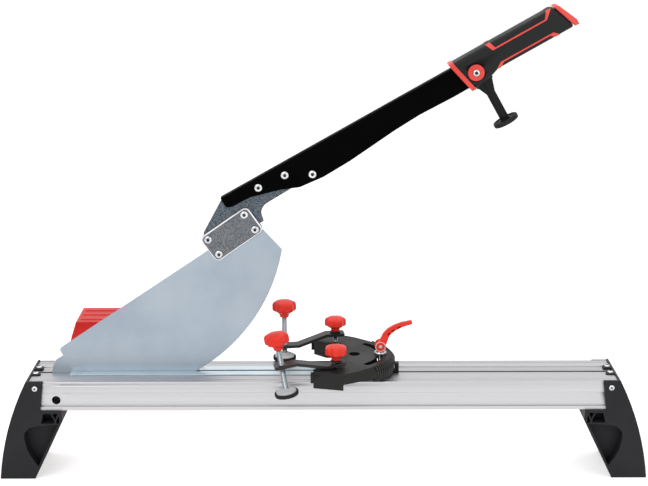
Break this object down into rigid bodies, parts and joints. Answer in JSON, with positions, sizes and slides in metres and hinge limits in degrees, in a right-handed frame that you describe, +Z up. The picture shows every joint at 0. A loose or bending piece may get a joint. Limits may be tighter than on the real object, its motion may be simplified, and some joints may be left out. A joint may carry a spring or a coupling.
{
  "type": "laminate flooring guillotine",
  "caption": "Bench guillotine for laminate flooring: slotted aluminium table on black feet, raised blade on a long black lever, mitre gauge with cam lever and red-knob plank clamps.",
  "frame": {"origin": "on the floor, at the middle of the tool's bounding box", "axes": "X along the table with the lever's grip towards +X, Y away from the operator, Z up"},
  "size_m": [0.823, 0.3509, 0.5929],
  "materials": {
    "aluminium": "natural extruded",
    "zinc_plate": "zinc plated",
    "galvanised_steel": "dark spangled",
    "bright_steel": "bright",
    "bush_brass": "turned",
    "black_gloss_paint": "gloss",
    "black_paint": "satin",
    "black_plastic": "matt",
    "gauge_plastic": "matt",
    "grey_plastic": "matt",
    "red_plastic": "satin",
    "black_rubber": "matt"
  },
  "bodies": {
    "bench": {"front_profile": "aluminium", "rear_profile": "aluminium", "front_wear_strip": "zinc_plate", "rear_wear_strip": "zinc_plate", "left_foot": "black_plastic", "left_foot_front_tab_screw": "bright_steel", "left_foot_rear_tab_screw": "bright_steel", "left_foot_flange_screw": "bright_steel", "right_foot": "black_plastic", "right_foot_front_tab_screw": "bright_steel", "right_foot_rear_tab_screw": "bright_steel", "right_foot_flange_screw": "bright_steel", "pivot_bolt": "bright_steel", "pivot_nut": "bright_steel", "pivot_bush": "bush_brass", "gauge_carrier": "gauge_plastic", "gauge_clamp_plate": "bright_steel", "gauge_pivot_bolt": "bright_steel", "cam_stud": "bright_steel", "cam_washer": "bright_steel", "plank_support": "red_plastic"},
    "cutting_arm": {"blade": "zinc_plate", "front_joint_plate": "galvanised_steel", "rear_joint_plate": "galvanised_steel", "plate_bolt_lower_left": "bright_steel", "plate_bolt_upper_left": "bright_steel", "plate_bolt_lower_right": "bright_steel", "plate_bolt_upper_right": "bright_steel", "lever_bracket": "galvanised_steel", "lever_packing_front": "bright_steel", "lever_packing_rear": "bright_steel", "lever": "black_gloss_paint", "lever_bolt_left": "bright_steel", "lever_bolt_middle": "bright_steel", "lever_bolt_right": "bright_steel", "grip": "black_plastic", "grip_collar": "red_plastic", "grip_end_cap": "red_plastic", "grip_disc_front": "red_plastic", "grip_disc_rear": "red_plastic", "grip_bolt": "bright_steel", "stop_stem": "black_plastic", "stop_pad": "black_rubber"},
    "gauge": {"gauge_body": "gauge_plastic"},
    "cam": {"cam_lever": "red_plastic", "cam_pin": "bright_steel"},
    "front_clamp_washer_body": {"front_clamp_arm_washer": "bright_steel"},
    "front_clamp_arm_body": {"front_clamp_arm": "black_paint"},
    "front_clamp_knob_body": {"front_clamp_arm_knob": "red_plastic"},
    "front_clamp_pad_body": {"front_clamp_pad_rubber": "black_rubber", "front_clamp_pad_cap": "grey_plastic"},
    "front_clamp_spindle_body": {"front_clamp_spindle": "bright_steel", "front_clamp_spindle_knob": "red_plastic"},
    "rear_clamp_washer_body": {"rear_clamp_arm_washer": "bright_steel"},
    "rear_clamp_arm_body": {"rear_clamp_arm": "black_paint"},
    "rear_clamp_knob_body": {"rear_clamp_arm_knob": "red_plastic"},
    "rear_clamp_pad_body": {"rear_clamp_pad_rubber": "black_rubber", "rear_clamp_pad_cap": "grey_plastic"},
    "rear_clamp_spindle_body": {"rear_clamp_spindle": "bright_steel", "rear_clamp_spindle_knob": "red_plastic"}
  },
  "joints": [
    {"name": "blade_lever", "type": "hinge", "parent": "bench", "child": "cutting_arm", "pos_m": [-0.336, -0.09801, 0.105], "axis": [0, -1, 0], "range_deg": [-29.5, 25]},
    {"name": "gauge_swivel", "type": "hinge", "parent": "bench", "child": "gauge", "pos_m": [0.023, -0.09801, 0.145], "axis": [0, 0, 1], "range_deg": [-4, 45]},
    {"name": "cam_clamp", "type": "hinge", "parent": "bench", "child": "cam", "pos_m": [0.073, -0.09801, 0.1633], "axis": [0, -1, 0], "range_deg": [-35, 50]},
    {"name": "front_clamp_lift", "type": "slide", "parent": "gauge", "child": "front_clamp_washer_body", "axis": [0, 0, 1], "range_m": [0, 0.006]},
    {"name": "front_clamp_knob_turn", "type": "hinge", "parent": "front_clamp_washer_body", "child": "front_clamp_knob_body", "pos_m": [0.016, -0.14801, 0.1564], "axis": [0, 0, 1], "range_deg": [0, 2160]},
    {"name": "front_clamp_arm_swivel", "type": "hinge", "parent": "front_clamp_washer_body", "child": "front_clamp_arm_body", "pos_m": [0.016, -0.14801, 0.1564], "axis": [0, 0, -1], "range_deg": [-60, 4]},
    {"name": "front_clamp_pad_travel", "type": "slide", "parent": "front_clamp_arm_body", "child": "front_clamp_pad_body", "axis": [-0.1625, -0.0287, 0.9863], "range_m": [-0.018, 0.024]},
    {"name": "front_clamp_spindle_turn", "type": "hinge", "parent": "front_clamp_pad_body", "child": "front_clamp_spindle_body", "pos_m": [-0.0448, -0.15873, 0.1194], "axis": [-0.1625, -0.0287, 0.9863], "range_deg": [-5184, 6912]},
    {"name": "rear_clamp_lift", "type": "slide", "parent": "gauge", "child": "rear_clamp_washer_body", "axis": [0, 0, 1], "range_m": [-0.0015, 0.006]},
    {"name": "rear_clamp_knob_turn", "type": "hinge", "parent": "rear_clamp_washer_body", "child": "rear_clamp_knob_body", "pos_m": [0.016, -0.04801, 0.1626], "axis": [0, 0, 1], "range_deg": [-540, 2160]},
    {"name": "rear_clamp_arm_swivel", "type": "hinge", "parent": "rear_clamp_washer_body", "child": "rear_clamp_arm_body", "pos_m": [0.016, -0.04801, 0.1626], "axis": [0, 0, 1], "range_deg": [-60, 9]},
    {"name": "rear_clamp_pad_travel", "type": "slide", "parent": "rear_clamp_arm_body", "child": "rear_clamp_pad_body", "axis": [0, 0, 1], "range_m": [-0.0017, 0.006]},
    {"name": "rear_clamp_spindle_turn", "type": "hinge", "parent": "rear_clamp_pad_body", "child": "rear_clamp_spindle_body", "pos_m": [-0.05025, -0.05803, 0.1311], "axis": [0, 0, 1], "range_deg": [-489.6, 1728]}
  ],
  "couplings": [
    {"joint": "front_clamp_knob_turn", "follows": "front_clamp_lift", "rad_per_m": 6283.2},
    {"joint": "front_clamp_spindle_turn", "follows": "front_clamp_pad_travel", "rad_per_m": 5026.5},
    {"joint": "rear_clamp_knob_turn", "follows": "rear_clamp_lift", "rad_per_m": 6283.2},
    {"joint": "rear_clamp_spindle_turn", "follows": "rear_clamp_pad_travel", "rad_per_m": 5026.5}
  ]
}
